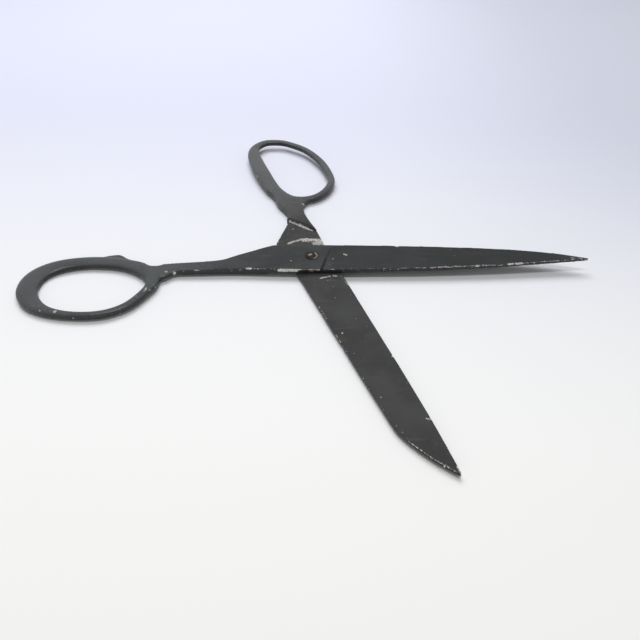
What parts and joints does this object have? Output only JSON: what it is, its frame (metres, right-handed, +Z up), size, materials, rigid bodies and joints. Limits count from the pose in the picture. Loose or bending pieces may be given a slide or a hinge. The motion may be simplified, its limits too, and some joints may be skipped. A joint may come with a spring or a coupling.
{
  "type": "fabric shears",
  "caption": "Flat forged fabric shears: crossed arms with oval finger loops and ground blades turn on a peened rivet seated in a dished rove.",
  "frame": {"origin": "on the pivot line, at the flat underside of the lower arm, which is the surface the shears rest on", "axes": "+X runs along the upper blade from the pivot to its tip at rest, +Z is up, away from the resting surface, and +Y points to the lower arm's finger loop side"},
  "size_m": [0.2542, 0.2344, 0.0069],
  "materials": {
    "lower_finish": "satin, worn",
    "upper_finish": "satin, worn",
    "rivet_steel": "peened, dull",
    "rove_steel": "worn bright on its rim"
  },
  "bodies": {
    "lower": {"lower_arm": "lower_finish", "pivot_rivet": "rivet_steel", "rivet_rove": "rove_steel"},
    "upper": {"upper_arm": "upper_finish"}
  },
  "joints": [
    {"name": "pivot", "type": "hinge", "parent": "lower", "child": "upper", "pos_m": [0, 0, 0.0025], "axis": [-0.0119, -0.0055, 0.9999], "range_deg": [-65, 45]}
  ]
}
